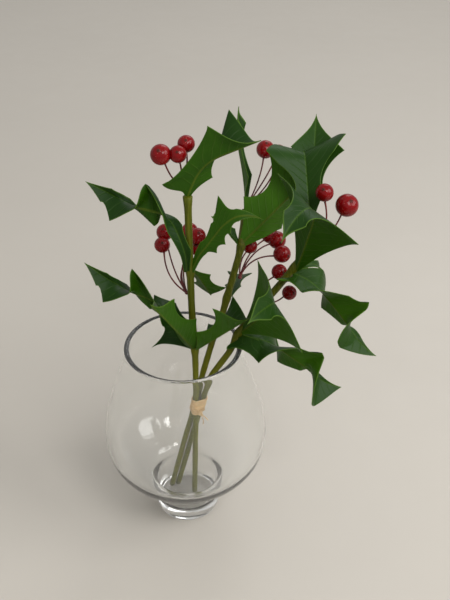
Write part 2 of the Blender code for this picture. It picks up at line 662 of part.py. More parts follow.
berryBunch("berries_middle_mid", (38, 18.6, 190.5), [
    ((44.8, 32, 206.4), 9.9, (-2, 0, 2)), ((58.4, 44, 207.8), 11.3, (-2, 0, 4)),
    ((63.2, 41, 205.7), 12.1, (-2, 0, 5)), ((65.9, 28, 202.7), 11.8, (-3, 0, 5)),
], parts)
berryBunch("berries_right_low", (49.5, 8.4, 175.5), [
    ((63.9, 18, 195), 10.5, (-3, 1, 2)), ((78.5, 26, 191.4), 10.7, (0, 2, -2)),
    ((71.2, 18, 178.5), 10, (2, 1, -3)),
], parts)
berryBunch("berries_right_top", (84.6, 5.8, 225), [
    ((88.6, 9, 258), 11.2, (4, -1, -2)), ((103.4, 12, 247.7), 14.4, (2, 0, -3)),
], parts)

bpy.data.collections.remove(cutters)
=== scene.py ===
import bpy
import numpy as np
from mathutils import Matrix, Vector


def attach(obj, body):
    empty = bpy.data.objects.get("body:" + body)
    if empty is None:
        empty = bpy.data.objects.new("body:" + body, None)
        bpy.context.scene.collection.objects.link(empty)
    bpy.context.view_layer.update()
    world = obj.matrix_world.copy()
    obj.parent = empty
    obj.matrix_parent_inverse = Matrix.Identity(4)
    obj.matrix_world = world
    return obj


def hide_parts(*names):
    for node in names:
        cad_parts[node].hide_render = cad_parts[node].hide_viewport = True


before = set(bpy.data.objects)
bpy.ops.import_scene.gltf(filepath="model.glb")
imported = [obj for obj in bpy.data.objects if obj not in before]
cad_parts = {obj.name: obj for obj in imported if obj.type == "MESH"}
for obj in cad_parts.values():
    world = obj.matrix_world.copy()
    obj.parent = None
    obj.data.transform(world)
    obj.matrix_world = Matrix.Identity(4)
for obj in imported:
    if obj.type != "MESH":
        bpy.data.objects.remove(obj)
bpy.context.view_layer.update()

mm = 0.001


# A curve through the points: each span is the cubic that leaves a point parallel to its neighbours.
def smoothPath(points, pieces):
    p = np.array(points, float)
    p = np.vstack([2 * p[0] - p[1], p, 2 * p[-1] - p[-2]])
    t = np.tile(np.linspace(0, 1, pieces, endpoint=False), len(p) - 3)[:, None]
    k = np.repeat(np.arange(1, len(p) - 2), pieces)
    a, b, c, d = p[k - 1], p[k], p[k + 1], p[k + 2]
    inner = 0.5 * (2 * b + (c - a) * t + (2 * a - 5 * b + 4 * c - d) * t ** 2
                   + (3 * b - a - 3 * c + d) * t ** 3)
    return np.vstack([inner, p[-2:-1]])


def unit(v):
    return v / np.linalg.norm(v, axis=-1, keepdims=True)


# A value at each share: neighbouring keys joined by a smooth step, t * t * (3 - 2 t).
def eased(keys, values, s):
    keys, values = np.array(keys, float), np.array(values, float)
    k = np.clip(np.searchsorted(keys, s, side="right") - 1, 0, len(keys) - 2)
    t = np.clip((s - keys[k]) / (keys[k + 1] - keys[k]), 0, 1)
    t = t * t * (3 - 2 * t)
    return values[k] * (1 - t) + values[k + 1] * t


# Several grids of points become one mesh.  A grid is rows x columns x 3, in millimetres.
# With wrap set its columns close round and a fan caps its first and last rows.  Without it, the
# sheet brings its own faces.
def meshFrom(name, sheets, material, body="root"):
    places, quads, threes, values = [], [], [], {}
    count = 0
    for sheet in sheets:
        grid = sheet["grid"]
        rows, cols = grid.shape[:2]
        ids = count + np.arange(rows * cols).reshape(rows, cols)
        places.append(grid.reshape(-1, 3))
        extra = 0
        if sheet.get("wrap"):
            across = np.roll(ids, -1, 1)
            quads.append(np.stack([ids[:-1], across[:-1], across[1:], ids[1:]], -1).reshape(-1, 4))
            places.append(np.stack([grid[0].mean(0), grid[-1].mean(0)]))
            low, high = count + rows * cols, count + rows * cols + 1
            threes.append(np.stack([across[0], ids[0], np.full(cols, low)], -1))
            threes.append(np.stack([ids[-1], across[-1], np.full(cols, high)], -1))
            extra = 2
        else:
            quads.append(sheet["faces"] + count)
        for key, value in sheet.get("values", {}).items():
            flat = np.broadcast_to(value, grid.shape[:2]).reshape(-1)
            ends = np.array([flat[0], flat[-1]])[:extra]
            values.setdefault(key, []).append(np.concatenate([flat, ends]))
        count += rows * cols + extra
    quads = np.vstack(quads)
    threes = np.vstack(threes) if threes else np.zeros((0, 3), int)
    mesh = bpy.data.meshes.new(name)
    mesh.vertices.add(count)
    mesh.vertices.foreach_set("co", (np.vstack(places) * mm).astype(np.float32).ravel())
    loops = np.concatenate([quads.ravel(), threes.ravel()]).astype(np.int32)
    sizes = np.concatenate([np.full(len(quads), 4), np.full(len(threes), 3)])
    mesh.loops.add(len(loops))
    mesh.loops.foreach_set("vertex_index", loops)
    mesh.polygons.add(len(sizes))
    starts = np.concatenate([[0], np.cumsum(sizes)[:-1]]).astype(np.int32)
    mesh.polygons.foreach_set("loop_start", starts)
    mesh.polygons.foreach_set("use_smooth", np.ones(len(sizes), bool))
    for key, parts in values.items():
        layer = mesh.attributes.new(key, "FLOAT", "POINT")
        layer.data.foreach_set("value", np.concatenate(parts).astype(np.float32))
    mesh.update(calc_edges=True)
    mesh.validate()
    mesh.materials.append(material)
    piece = bpy.data.objects.new(name, mesh)
    bpy.context.scene.collection.objects.link(piece)
    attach(piece, body)
    return piece


# A section carried along a path.  The ring at each point is
# centre + width cos a side + depth sin a up.
def sweep(path, width, depth=None, sides=16, upward=None):
    path = np.array(path, float)
    along = unit(np.gradient(path, axis=0))
    mean = np.abs(along.mean(0))
    guide = np.eye(3)[int(np.argmin(mean))] if upward is None else upward
    side = unit(np.cross(along, guide))
    up = np.cross(along, side)
    depth = width if depth is None else depth
    angle = np.linspace(0, 2 * np.pi, sides, endpoint=False)
    width = np.broadcast_to(width, len(path))[:, None, None]
    depth = np.broadcast_to(depth, len(path))[:, None, None]
    ring = (np.cos(angle)[None, :, None] * side[:, None] * width
            + np.sin(angle)[None, :, None] * up[:, None] * depth)
    return path[:, None] + ring


# A shader socket that can stand in a sum: each operator adds its Math node.
class Wire:
    def __init__(self, paint, socket):
        self.paint, self.socket = paint, socket

    def maths(self, kind, *others):
        return self.paint.node("ShaderNodeMath", {"operation": kind}, dict(enumerate(others)))

    def __add__(self, other):
        return self.maths("ADD", self, other)

    def __radd__(self, other):
        return self.maths("ADD", other, self)

    def __sub__(self, other):
        return self.maths("SUBTRACT", self, other)

    def __rsub__(self, other):
        return self.maths("SUBTRACT", other, self)

    def __mul__(self, other):
        return self.maths("MULTIPLY", self, other)

    def __rmul__(self, other):
        return self.maths("MULTIPLY", other, self)

    def __truediv__(self, other):
        return self.maths("DIVIDE", self, other)

    def size(self):
        return self.maths("ABSOLUTE", self)

    def share(self):
        return self.maths("FRACT", self)

    def ramp(self, low, high):  # 0 at low, 1 at high, eased
        return self.paint.node("ShaderNodeMapRange", {"interpolation_type": "SMOOTHSTEP"},
                               {"Value": self, "From Min": low, "From Max": high})


# A material with its Principled shader.  Plain values are set by name, with _ for a space.
class Paint:
    def __init__(self, name, **plain):
        self.material = bpy.data.materials.new(name)
        self.material.use_nodes = True
        self.tree = self.material.node_tree
        self.shader = self.tree.nodes["Principled BSDF"]
        for key, value in plain.items():
            self.shader.inputs[key.replace("_", " ")].default_value = value

    # One node: its settings are made first, then its sockets get their values or links.
    def node(self, kind, settings=None, inputs=None, output=0):
        made = self.tree.nodes.new(kind)
        for key, value in (settings or {}).items():
            setattr(made, key, value)
        for key, value in (inputs or {}).items():
            if isinstance(value, Wire):
                self.tree.links.new(value.socket, made.inputs[key])
            else:
                made.inputs[key].default_value = value
        return Wire(self, made.outputs[output])

    def feed(self, key, wire):
        self.tree.links.new(wire.socket, self.shader.inputs[key])

    def value(self, name):
        return self.node("ShaderNodeAttribute", {"attribute_name": name}, output="Fac")

    def noise(self, scale, detail=2.0, where=None):
        where = where or self.node("ShaderNodeTexCoord", output="Object")
        return self.node("ShaderNodeTexNoise", {},
                         {"Vector": where, "Scale": scale, "Detail": detail})

    def mix(self, amount, first, second):  # sockets 6, 7 and 2 are the colours of the Mix node
        first, second = [c if isinstance(c, Wire) else (*c, 1) for c in (first, second)]
        return self.node("ShaderNodeMix", {"data_type": "RGBA"},
                         {0: amount, 6: first, 7: second}, 2)

    def bump(self, height, distance, strength=1.0):
        return self.node("ShaderNodeBump", {}, {"Height": height, "Distance": distance,
                                                "Strength": strength})


# The camera looks down from above the front.
view = {"place": (0.0282, -0.452, 0.498), "down": 34.7, "lens": 51}
camera = bpy.data.objects.new("camera", bpy.data.cameras.new("camera"))
bpy.context.scene.collection.objects.link(camera)
camera.location = view["place"]
camera.rotation_euler = (np.radians(90 - view["down"]), 0, 0)
camera.data.lens = view["lens"]
camera.data.clip_start = 0.01
bpy.context.scene.camera = camera
bpy.context.scene.view_settings.view_transform = "Standard"

room = {"floor": (0.555, 0.515, 0.455), "patchShade": 0.94, "sky": (0.98, 0.98, 0.97),
        "skyStrength": 0.56, "left": -4, "right": 4, "front": -3, "back": 5, "level": -0.0003}
floorPaint = Paint("floor", Roughness=0.5)
floorPaint.feed("Base Color", floorPaint.mix(floorPaint.noise(5, 3), room["floor"],
                                             tuple(room["patchShade"] * c for c in room["floor"])))
floorPaint.feed("Roughness", floorPaint.noise(30, 2) * 0.2 + 0.42)
floorMesh = bpy.data.meshes.new("floor")
corners = [("left", "front"), ("right", "front"), ("right", "back"), ("left", "back")]
floorMesh.from_pydata([(room[x], room[y], room["level"]) for x, y in corners], [], [(0, 1, 2, 3)])
floorMesh.materials.append(floorPaint.material)
floor = bpy.data.objects.new("floor", floorMesh)
bpy.context.scene.collection.objects.link(floor)

world = bpy.data.worlds.new("room")
world.use_nodes = True
world.node_tree.nodes["Background"].inputs["Color"].default_value = (*room["sky"], 1)
world.node_tree.nodes["Background"].inputs["Strength"].default_value = room["skyStrength"]
bpy.context.scene.world = world

lamps = {
    "key": {"place": (0.5, -0.8, 1.25), "size": 0.6, "power": 8},
    "fill": {"place": (1.2, -0.3, 1.0), "size": 1.0, "power": 11},
    "back": {"place": (0.5, 1.5, 1.4), "size": 1.0, "power": 5},
}
lampTarget = (0.02, 0, 0.15)
for name, lamp in lamps.items():
    light = bpy.data.lights.new(name, "AREA")
    light.shape = "DISK"
    light.size = lamp["size"]
    light.energy = lamp["power"]
    thing = bpy.data.objects.new(name, light)
    thing.location = lamp["place"]
    aim = Vector(lampTarget) - Vector(lamp["place"])
    thing.rotation_euler = aim.to_track_quat("-Z", "Y").to_euler()
    bpy.context.scene.collection.objects.link(thing)
print("camera, floor and light are in place")

leafLook = {
    "upperDark": (0.005, 0.026, 0.001), "upperLight": (0.018, 0.056, 0.004),
    "underDark": (0.010, 0.045, 0.0003), "underLight": (0.044, 0.135, 0.001),
    "margin": (0.075, 0.15, 0.012), "veinUpper": (0.035, 0.08, 0.01),
    "veinUnder": (0.06, 0.11, 0.012), "ribUnder": (0.07, 0.11, 0.006),
    "veinSpacing": 5.5, "veinSlope": 0.75, "veinWander": 0.35, "veinWidth": 0.10,
    "veinFades": (9, 22), "ribEdges": (0.25, 0.95), "marginEdges": (0.12, 0.5),
    "roughness": 0.33, "reliefDepth": 0.0003, "relief": 0.6,
}


# Side veins are lines of equal (distance along - slope x distance out), fading towards the edge.
def leafPaint():
    p = Paint("holly_leaf", Roughness=0.38, Specular_IOR_Level=0.14)
    out, along = p.value("out").size(), p.value("along")
    edge, under = p.value("edge"), p.value("under").ramp(0.3, 0.7)
    tone, patch = p.value("tone"), p.noise(70, 3)
    warp = (p.noise(120, 1) - 0.5) * leafLook["veinWander"]
    phase = (along - out * leafLook["veinSlope"]) / leafLook["veinSpacing"] + warp
    line = 1 - (phase.share() - 0.5).size().ramp(0.0, leafLook["veinWidth"])
    fine = 1 - (p.noise(900, 1) - 0.5).size().ramp(0.0, 0.06)
    sideVein = line * edge.ramp(0.5, 4) * (1 - out.ramp(*leafLook["veinFades"]) * 0.7)
    rib = 1 - out.ramp(*leafLook["ribEdges"])
    upper = p.mix(patch * 0.6 + tone * 0.6, leafLook["upperDark"], leafLook["upperLight"])
    upper = p.mix(sideVein * 0.35, upper, leafLook["veinUpper"])
    upper = p.mix(rib * 0.3, upper, leafLook["margin"])
    lower = p.mix(patch * 0.5 + tone * 0.6, leafLook["underDark"], leafLook["underLight"])
    lower = p.mix(sideVein * 0.3 + fine * 0.08, lower, leafLook["veinUnder"])
    lower = p.mix(rib * 0.8, lower, leafLook["ribUnder"])
    both = p.mix(under, upper, lower)
    both = p.mix((1 - edge.ramp(*leafLook["marginEdges"])) * 0.75, both, leafLook["margin"])
    p.feed("Base Color", both)
    p.feed("Roughness", patch * 0.16 + under * 0.1 + leafLook["roughness"])
    grain = p.noise(1500, 2)
    height = sideVein * (under * 2 - 1) * 0.9 + grain * 0.12 + patch * 0.5
    p.feed("Normal", p.bump(height, leafLook["reliefDepth"], leafLook["relief"]))
    return p.material


stemLook = {
    "bark": (0.15, 0.155, 0.006), "highBark": (0.062, 0.075, 0.001), "streak": (0.17, 0.165, 0.012),
    "cutWood": (0.45, 0.42, 0.25), "blendHeights": (0.10, 0.19), "grain": (900, 900, 45),
}


# Bark is lighter and yellower below 0.10 m and darker above 0.19 m, blended by height between; it
# is streaked lengthways, and the cut end shows pale wood.
def stemPaint():
    p = Paint("holly_stem", Roughness=0.5, Specular_IOR_Level=0.2)
    height = p.node("ShaderNodeSeparateXYZ", {},
                    {0: p.node("ShaderNodeTexCoord", output="Object")}, 2)
    streaks = p.noise(1.0, 4, p.node("ShaderNodeMapping", {}, {
        "Vector": p.node("ShaderNodeTexCoord", output="Object"), "Scale": stemLook["grain"]}))
    # the bark colour blends by height alone, from the lighter yellower low colour to the darker
    # high one
    heightShare = height.ramp(*stemLook["blendHeights"])
    base = p.mix(heightShare, stemLook["bark"], stemLook["highBark"])
    base = p.mix(streaks.ramp(0.35, 0.75) * 0.5, base, stemLook["streak"])
    base = p.mix(p.value("cut"), base, stemLook["cutWood"])
    p.feed("Base Color", base)
    p.feed("Roughness", streaks * 0.2 + 0.4)
    p.feed("Normal", p.bump(streaks + p.noise(700, 2) * 0.5, 0.0003, 0.5))
    return p.material


berryLook = {
    "dark": (0.12, 0.001, 0.002), "light": (0.26, 0.003, 0.004), "speck": (0.75, 0.25, 0.18),
    "crown": (0.035, 0.012, 0.005), "roughness": 0.14, "speckScale": 850.0,
}


# A clouded red skin with small pale specks and a dull brown crown.
def berryPaint():
    p = Paint("holly_berry", Roughness=0.2, Specular_IOR_Level=0.2, Coat_Weight=0.08,
              Coat_Roughness=0.06)
    cloud = p.noise(260, 2)
    dots = p.node("ShaderNodeTexVoronoi", {}, {
        "Vector": p.node("ShaderNodeTexCoord", output="Object"), "Scale": berryLook["speckScale"]})
    speck = (1 - dots.ramp(0.08, 0.25)) * cloud.ramp(0.42, 0.6)
    skin = p.mix(cloud, berryLook["dark"], berryLook["light"])
    skin = p.mix(speck * 0.5, skin, berryLook["speck"])
    skin = p.mix(p.value("crown") * 0.8, skin, berryLook["crown"])
    p.feed("Base Color", skin)
    p.feed("Roughness", p.value("crown") * 0.5 + cloud * 0.1 + berryLook["roughness"])
    p.feed("Normal", p.bump(p.noise(420, 2) - speck * 0.3, 0.0002, 0.5))
    return p.material


stalkLook = {"dark": (0.085, 0.006, 0.012), "light": (0.19, 0.03, 0.022)}


def stalkPaint():
    p = Paint("holly_stalk", Roughness=0.45)
    tint = p.noise(250, 2)
    p.feed("Base Color", p.mix(tint.ramp(0.3, 0.8), stalkLook["dark"], stalkLook["light"]))
    p.feed("Normal", p.bump(tint, 0.0002, 0.5))
    return p.material


raffiaLook = {
    "dark": (0.58, 0.36, 0.15), "light": (0.92, 0.63, 0.30), "fibre": (0.95, 0.72, 0.40),
    "fibreAlong": 0.12, "fibreAcross": 5.0, "fibreApart": 9.0,
}


# Fibres run the length of a strand: noise that is stretched along it and fine across it.
def raffiaPaint():
    p = Paint("raffia_straw", Roughness=0.7)
    fibre = p.node("ShaderNodeTexNoise", {}, {"Scale": 1.0, "Detail": 3.0, "Vector": p.node(
        "ShaderNodeCombineXYZ", {}, {0: p.value("along") * raffiaLook["fibreAlong"],
                                     1: p.value("lane") * raffiaLook["fibreAcross"],
                                     2: p.value("tone") * raffiaLook["fibreApart"]})})
    tone = p.value("tone")
    base = p.mix(tone, raffiaLook["dark"], raffiaLook["light"])
    base = p.mix(fibre.ramp(0.35, 0.7) * 0.7, base, raffiaLook["fibre"])
    p.feed("Base Color", base)
    p.feed("Roughness", fibre * 0.25 + 0.5)
    p.feed("Normal", p.bump(fibre, 0.0003, 0.8))
    return p.material


# Clear glass, very slightly uneven as blown glass is.
def glassPaint():
    p = Paint("clear_glass", Base_Color=(0.995, 0.998, 0.99, 1), Roughness=0.0, IOR=1.46,
              Transmission_Weight=0.975)
    p.feed("Normal", p.bump(p.noise(22, 1), 0.0006, 0.25))
    return p.material


leafMaterial, stemMaterial, berryMaterial = leafPaint(), stemPaint(), berryPaint()
stalkMaterial, raffiaMaterial, glassMaterial = stalkPaint(), raffiaPaint(), glassPaint()
print("materials are ready")

stems = {
    "left": {"route": [(5.2, -2, 9.2), (7, -2.1, 80), (7.5, -2.1, 98), (8, -2.1, 118), (8, -2, 145),
                       (6.8, -2, 175), (6.3, -2, 208), (6, -2, 261)], "joints": [146, 208, 260]},
    "middle": {"route": [(-12.6, 4, 9.6), (3.2, 2.9, 80), (7.3, 2.3, 98), (12.2, 3.8, 118),
                         (20, 6, 148), (25, 10, 161), (30, 16, 178), (38, 22, 209), (40, 33, 218),
                         (42, 46, 225)], "joints": [176, 212, 225]},
    "right": {"route": [(-8, 6, 9.4), (7.6, 2.6, 80), (11.4, 0.4, 98), (17, 0, 118),
                        (31.5, 1.6, 142), (37, 3, 156), (53, 5, 178), (65, 6, 195),
                        (75, 8, 209), (81, 9, 222), (82, 10, 234)],
              "joints": [156, 205, 233]},
}
stemForm = {
    "low": 2.0, "high": 2.3, "widensFrom": 110, "widensOver": 60, "swelling": 0.75,
    "swellingLength": 3.2, "longWave": (0.06, 0.21), "shortWave": (0.04, 0.67), "span": 14,
    "sides": 20, "bevel": 0.25, "bevelShare": 0.02, "tipLength": 0.5, "tipShare": 0.6,
}


# Radius of a stem at a height: low, then a straight change to high.
def stemThickness(height):
    share = np.clip((height - stemForm["widensFrom"]) / stemForm["widensOver"], 0, 1)
    return stemForm["low"] + (stemForm["high"] - stemForm["low"]) * share


# A rod on a smooth route: thicker at each leaf joint by a bell curve, faintly uneven between.
for side, stem in stems.items():
    path = smoothPath(stem["route"], stemForm["span"])
    z = path[:, 2]
    radius = stemThickness(z)
    for joint in stem["joints"]:
        bell = np.exp(-((z - joint) / stemForm["swellingLength"]) ** 2)
        radius = radius + stemForm["swelling"] * bell
    (tall, slow), (small, quick) = stemForm["longWave"], stemForm["shortWave"]
    radius = radius + tall * np.sin(z * slow + len(side)) + small * np.sin(z * quick)
    heading = unit(path[-1] - path[-2])
    path = np.vstack([path[:1], path[:1] + (path[1] - path[0]) * stemForm["bevelShare"], path[1:],
                      path[-1:] + heading * stemForm["tipLength"]])
    radius = np.concatenate([[radius[0] - stemForm["bevel"]], radius,
                             [radius[-1] * stemForm["tipShare"]]])
    cut = np.zeros(len(path))
    cut[:1] = 1
    piece = meshFrom("stem_" + side + "_bark", [{
        "grid": sweep(path, radius, sides=stemForm["sides"]), "wrap": True,
        "values": {"cut": cut[:, None]}}], stemMaterial)
    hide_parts("stem_" + side)
print("stems are in place")

blade = {"leftSpines": [(0.22, 15), (0.62, 25)], "rightSpines": [(0.26, 15), (0.70, 25)],
         "steps": 120, "rowsPerSpan": 20, "fewestRows": 6, "thickness": 0.62, "rimThickness": 0.4,
         "rimWidth": 1.5, "ribWidth": 0.7, "ribFade": 0.6, "groove": 0.22, "ridge": 0.35,
         "tip": 0.12, "footLift": 12, "footHollow": 0.45, "tipHollow": 0.75,
         "shares": [0, 0.025, 0.06, 0.11, 0.19, 0.3, 0.43, 0.56, 0.69, 0.81, 0.9, 0.96, 1]}


# Half width along a leaf: straight from spine to spine, hollowed by a parabola between.
def halfWidth(s, spines, foot, hollow):
    keys = np.array([0] + [share for share, _ in spines] + [1.0])
    widths = np.array([foot] + [width for _, width in spines] + [0.0])
    k = np.clip(np.searchsorted(keys, s, side="right") - 1, 0, len(keys) - 2)
    t = (s - keys[k]) / (keys[k + 1] - keys[k])
    depth = hollow * (widths[k] + widths[k + 1]) / 2
    depth = depth * np.where(k == 0, blade["footHollow"],
                             np.where(k == len(keys) - 2, blade["tipHollow"], 1.0))
    width = widths[k] * (1 - t) + widths[k + 1] * t - depth * 4 * t * (1 - t)
    return np.maximum(width, blade["tip"])


# Rotation matrices about one of the three local axes, one for each angle in degrees.
def turnsAbout(axis, degrees):
    a = np.radians(degrees)
    made = np.tile(np.eye(3), (len(a), 1, 1))
    i, j = (axis + 1) % 3, (axis + 2) % 3
    made[:, i, i], made[:, j, j] = np.cos(a), np.cos(a)
    made[:, i, j], made[:, j, i] = -np.sin(a), np.sin(a)
    return made


# Midrib of a leaf.  The frame at a station is the first frame times all the small turns before
# it: the product is built up by doubling, each frame times the one a power of two steps back.
def midribFrames(base, az, el, roll, length, bend, twist, sway):
    n = blade["steps"]
    x = (np.arange(n) + 0.5) / n
    small = [np.array(v, float)[np.minimum(len(v) - 1, (x * len(v)).astype(int))] * len(v) / n
             for v in (bend, sway, twist)]
    turns = turnsAbout(1, small[0]) @ turnsAbout(2, small[1]) @ turnsAbout(0, small[2])
    a, e, r = np.radians([az, el, roll])
    along = np.array([np.cos(e) * np.cos(a), np.cos(e) * np.sin(a), np.sin(e)])
    level = np.array([-np.sin(a), np.cos(a), 0])
    upper = np.cross(along, level)
    first = np.stack([along, np.cos(r) * level + np.sin(r) * upper,
                      np.cos(r) * upper - np.sin(r) * level], 1)
    frames = np.concatenate([first[None], turns])
    reach = 1
    while reach < len(frames):
        frames[reach:] = frames[:-reach] @ frames[reach:]
        reach *= 2
    steps = np.vstack([np.zeros(3), frames[:-1, :, 0] * length / n])
    return np.array(base, float) + np.cumsum(steps, 0), frames


# Stations along a leaf, closer together towards its spines.
def leafStations(left, right):
    marks = sorted({0.0, 1.0} | {share for share, _ in left} | {share for share, _ in right})
    spans = []
    for a, b in zip(marks[:-1], marks[1:]):
        rows = max(blade["fewestRows"], int(blade["rowsPerSpan"] * (b - a) * 5))
        spans.append(a + (b - a) * (1 - np.cos(np.pi * np.arange(rows) / rows)) / 2)
    return np.concatenate(spans + [[1.0]])


# Two skins stand half a thickness off a surface along its normal, the upper one dipping and the
# lower one swelling along the midrib, and a rim joins their borders.
def bladeSheet(s, length, halves, widths, tone):
    shares = np.array(blade["shares"])[None]
    outs = [width[:, None] * shares * hand for width, hand in zip(widths, (1, -1))]
    edges = [width[:, None] * (1 - shares) for width in widths]
    middle, out, edge = [np.concatenate([pair[0][:, ::-1], pair[1][:, 1:]], 1)
                         for pair in (halves, outs, edges)]
    normal = unit(np.cross(np.gradient(middle, axis=0), -np.gradient(middle, axis=1)))
    rib = np.exp(-(out / blade["ribWidth"]) ** 2) * (1 - blade["ribFade"] * s[:, None])
    half = (blade["rimThickness"] + (blade["thickness"] - blade["rimThickness"])
            * np.clip(edge / blade["rimWidth"], 0, 1)) / 2
    upper = middle + normal * (half - blade["groove"] * rib)[..., None]
    lower = middle - normal * (half + blade["ridge"] * rib)[..., None]
    rows, cols = middle.shape[:2]
    ids = np.arange(rows * cols).reshape(rows, cols)
    top = np.stack([ids[:-1, :-1], ids[:-1, 1:], ids[1:, 1:], ids[1:, :-1]], -1).reshape(-1, 4)
    border = np.concatenate([ids[0, :-1], ids[:-1, -1], ids[-1, :0:-1], ids[:0:-1, 0]])
    ahead = np.roll(border, -1)
    rim = np.stack([ahead, border, border + rows * cols, ahead + rows * cols], -1)
    faces = np.vstack([top, top[:, ::-1] + rows * cols, rim])
    run = np.broadcast_to(s[:, None] * length, out.shape)
    measures = (("out", out), ("along", run), ("edge", edge))
    values = {key: np.concatenate([v, v]) for key, v in measures}
    values["tone"] = np.full((2 * rows, cols), tone)
    values["under"] = np.concatenate([np.zeros(out.shape), np.ones(out.shape)])
    return {"grid": np.concatenate([upper, lower]), "faces": faces, "values": values}


# A holly blade: each half lifts off the midrib by its own angle, eased from spine to spine, and
# its outer part sweeps forward with the square of the share.
def leafSheet(base, az, el, roll=0, length=84, bend=(10, 10), twist=(0, 0), sway=(0, 0),
              liftLeft=(20, 20), liftRight=(20, 20), left=None, right=None, foot=2.0,
              hollow=0.42, sweepLeft=(2, 6), sweepRight=(2, 6), tipLift=10, tone=0.5):
    left = left or blade["leftSpines"]
    right = right or blade["rightSpines"]
    s = leafStations(left, right)
    place, frames = midribFrames(base, az, el, roll, length, bend, twist, sway)
    x = np.linspace(0, 1, len(place))
    k = np.minimum((s * (len(x) - 1)).astype(int), len(x) - 2)
    t = (s * (len(x) - 1) - k)[:, None]
    place = place[k] * (1 - t) + place[k + 1] * t
    along, across, up = [frames[k, :, j] * (1 - t) + frames[k + 1, :, j] * t for j in range(3)]
    shares = np.array(blade["shares"])[None, :, None]
    halves, widths = [], []
    for hand, spines, lift, swept in ((1, left, liftLeft, sweepLeft),
                                      (-1, right, liftRight, sweepRight)):
        keys = [0] + [share for share, _ in spines] + [1]
        lifts = (list(lift) + [lift[-1]] * len(spines))[:len(spines)]
        sweeps = (list(swept) + [swept[-1]] * len(spines))[:len(spines)]
        angle = np.radians(eased(keys, [blade["footLift"], *lifts, tipLift], s))
        forward = eased(keys, [0, *sweeps, 0], s)[:, None, None]
        width = halfWidth(s, spines, foot, hollow)
        direction = np.cos(angle)[:, None] * hand * across + np.sin(angle)[:, None] * up
        halves.append(place[:, None] + width[:, None, None] * shares * direction[:, None]
                      + forward * shares ** 2 * along[:, None])
        widths.append(width)
    return bladeSheet(s, length, halves, widths, tone)


# Values given at equal steps, joined by a curve of smooth cubics and read at each share.
def alongRows(values, s):
    p = np.array(values, float)
    p = np.vstack([2 * p[0] - p[1], p, 2 * p[-1] - p[-2]])
    k = np.minimum((s * (len(values) - 1)).astype(int), len(values) - 2) + 1
    t = (s * (len(values) - 1) - k + 1)[:, None]
    a, b, c, d = p[k - 1], p[k], p[k + 1], p[k + 2]
    return 0.5 * (2 * b + (c - a) * t + (2 * a - 5 * b + 4 * c - d) * t ** 2
                  + (3 * b - a - 3 * c + d) * t ** 3)


# A blade that rolls over: each row holds a midrib point and the ways to the left and the right
# margin.  A half is point + width x way x share, bowed out by 4 share (1 - share) of a vector.
def rolledSheet(rows, left, right, leftBow=None, rightBow=None, foot=2.0, hollow=0.3, tone=0.5):
    s = leafStations(left, right)
    place, leftWay, rightWay = [alongRows([row[i] for row in rows], s) for i in range(3)]
    length = np.linalg.norm(np.diff(np.array([row[0] for row in rows]), axis=0), axis=1).sum()
    shares = np.array(blade["shares"])[None, :, None]
    halves, widths = [], []
    for way, spines, bows in ((leftWay, left, leftBow), (rightWay, right, rightBow)):
        bulge = alongRows([(bows or {}).get(i, (0, 0, 0)) for i in range(len(rows))], s)
        width = halfWidth(s, spines, foot, hollow)
        halves.append(place[:, None] + width[:, None, None] * shares * unit(way)[:, None]
                      + bulge[:, None] * 4 * shares * (1 - shares))
        widths.append(width)
    return bladeSheet(s, length, halves, widths, tone)


